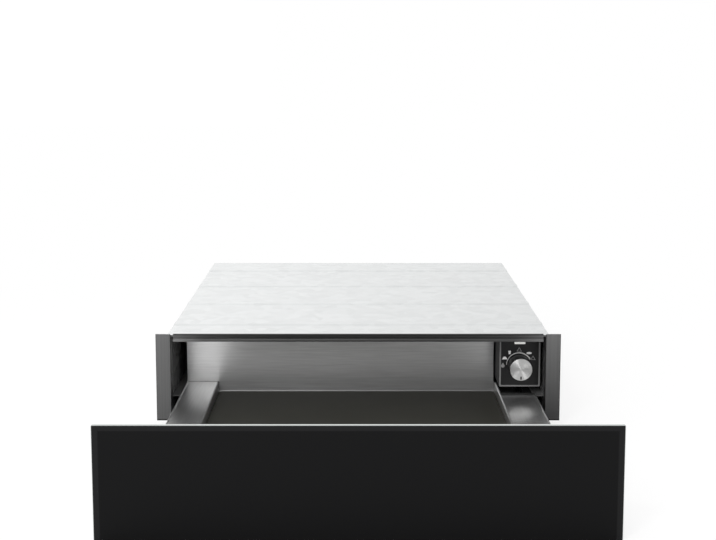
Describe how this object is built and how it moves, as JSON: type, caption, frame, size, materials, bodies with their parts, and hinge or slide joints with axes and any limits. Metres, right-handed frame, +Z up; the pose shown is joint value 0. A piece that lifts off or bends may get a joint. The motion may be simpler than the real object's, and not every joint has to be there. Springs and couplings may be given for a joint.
{
  "type": "built-in warming drawer",
  "caption": "Built-in warming drawer: black glass front on a brushed steel drawer with wide ledges, running on ball slides in a shallow cabinet with a control box and a fan heater behind.",
  "frame": {"origin": "under the middle of the cabinet, in the plane of the front frame's face, at the level of the cabinet's underside", "axes": "+X to the right seen from the front, +Y into the housing, +Z up"},
  "size_m": [0.597, 0.8893, 0.138],
  "materials": {
    "black_painted_steel": "fine satin powder coat",
    "galvanised_steel": "bare zinc with spangle outside, black lacquer inside",
    "anodised_aluminium": "dark grey satin anodised extrusion",
    "brushed_stainless": "brushed along the drawer's width and length",
    "zinc_plated_steel": "bright zinc plate",
    "element_sheath": "dulled stainless tube",
    "black_glass": "polished toughened glass, black behind",
    "mat_rubber": "fine grained anti-slip",
    "black_plastic": "fine moulded grain",
    "spun_aluminium": "spun in rings",
    "lamp_lens": "clear white",
    "pale_thermoset": "moulded",
    "lamination_steel": "stacked laminations",
    "coil_winding": "lacquered copper wire"
  },
  "bodies": {
    "cabinet": {"base_pan": "galvanised_steel", "left_side_panel": "galvanised_steel", "right_side_panel": "galvanised_steel", "roof_panel": "galvanised_steel", "rear_panel": "galvanised_steel", "left_front_column": "anodised_aluminium", "right_front_column": "anodised_aluminium", "top_front_bar": "anodised_aluminium", "left_outer_rail": "zinc_plated_steel", "right_outer_rail": "zinc_plated_steel", "left_slide_channel": "black_painted_steel", "right_slide_channel": "black_painted_steel", "control_housing": "black_painted_steel", "control_panel": "black_plastic", "pilot_lamp_lens": "lamp_lens", "temperature_regulator": "pale_thermoset", "rear_baffle": "black_painted_steel", "motor_core": "lamination_steel", "motor_coil": "coil_winding", "motor_strap": "zinc_plated_steel", "heating_element": "element_sheath", "element_flange": "zinc_plated_steel", "safety_thermostat": "pale_thermoset", "left_latch_housing": "black_plastic", "right_latch_housing": "black_plastic", "inlet_bushing": "black_plastic", "terminal_block": "pale_thermoset"},
    "drawer": {"drawer_tray": "brushed_stainless", "drawer_back_wall": "brushed_stainless", "anti_slip_mat": "mat_rubber", "glass_front": "black_glass", "front_carrier": "black_painted_steel", "inner_front": "brushed_stainless", "left_front_bracket": "zinc_plated_steel", "right_front_bracket": "zinc_plated_steel", "left_ledge_hanger": "zinc_plated_steel", "right_ledge_hanger": "zinc_plated_steel", "left_inner_rail": "zinc_plated_steel", "right_inner_rail": "zinc_plated_steel"},
    "left_slide_middle": {"left_middle_rail": "zinc_plated_steel"},
    "right_slide_middle": {"right_middle_rail": "zinc_plated_steel"},
    "left_outer_cage": {"left_outer_ball_cage": "zinc_plated_steel"},
    "right_outer_cage": {"right_outer_ball_cage": "zinc_plated_steel"},
    "left_inner_cage": {"left_inner_ball_cage": "zinc_plated_steel"},
    "right_inner_cage": {"right_inner_ball_cage": "zinc_plated_steel"},
    "knob": {"knob_body": "black_plastic", "knob_cap": "spun_aluminium", "regulator_shaft": "zinc_plated_steel"},
    "fan": {"fan_impeller": "zinc_plated_steel", "motor_rotor": "zinc_plated_steel"},
    "left_plunger": {"left_latch_plunger": "black_plastic"},
    "right_plunger": {"right_latch_plunger": "black_plastic"}
  },
  "joints": [
    {"name": "drawer_slide", "type": "slide", "parent": "cabinet", "child": "drawer", "axis": [0, -1, 0], "range_m": [-0.344, 0.036]},
    {"name": "left_middle_rail_slide", "type": "slide", "parent": "cabinet", "child": "left_slide_middle", "axis": [0, -1, 0], "range_m": [-0.172, 0.018]},
    {"name": "left_outer_cage_slide", "type": "slide", "parent": "cabinet", "child": "left_outer_cage", "axis": [0, -1, 0], "range_m": [-0.086, 0.009]},
    {"name": "left_inner_cage_slide", "type": "slide", "parent": "cabinet", "child": "left_inner_cage", "axis": [0, -1, 0], "range_m": [-0.258, 0.027]},
    {"name": "right_middle_rail_slide", "type": "slide", "parent": "cabinet", "child": "right_slide_middle", "axis": [0, -1, 0], "range_m": [-0.172, 0.018]},
    {"name": "right_outer_cage_slide", "type": "slide", "parent": "cabinet", "child": "right_outer_cage", "axis": [0, -1, 0], "range_m": [-0.086, 0.009]},
    {"name": "right_inner_cage_slide", "type": "slide", "parent": "cabinet", "child": "right_inner_cage", "axis": [0, -1, 0], "range_m": [-0.258, 0.027]},
    {"name": "knob_turn", "type": "hinge", "parent": "cabinet", "child": "knob", "pos_m": [0.2401, 0.038, 0.0714], "axis": [0, 1, 0], "range_deg": [0, 250]},
    {"name": "fan_spin", "type": "hinge", "parent": "cabinet", "child": "fan", "pos_m": [0, 0.46, 0.06375], "axis": [0, 1, 0], "continuous": true},
    {"name": "left_plunger_press", "type": "slide", "parent": "cabinet", "child": "left_plunger", "axis": [0, 1, 0], "range_m": [0, 0.003], "stiffness_N_per_m": 900, "springref_m": -0.003},
    {"name": "right_plunger_press", "type": "slide", "parent": "cabinet", "child": "right_plunger", "axis": [0, 1, 0], "range_m": [0, 0.003], "stiffness_N_per_m": 900, "springref_m": -0.003}
  ],
  "couplings": [
    {"joint": "left_middle_rail_slide", "follows": "drawer_slide", "ratio": 0.5},
    {"joint": "left_outer_cage_slide", "follows": "drawer_slide", "ratio": 0.25},
    {"joint": "left_inner_cage_slide", "follows": "drawer_slide", "ratio": 0.75},
    {"joint": "right_middle_rail_slide", "follows": "drawer_slide", "ratio": 0.5},
    {"joint": "right_outer_cage_slide", "follows": "drawer_slide", "ratio": 0.25},
    {"joint": "right_inner_cage_slide", "follows": "drawer_slide", "ratio": 0.75}
  ]
}
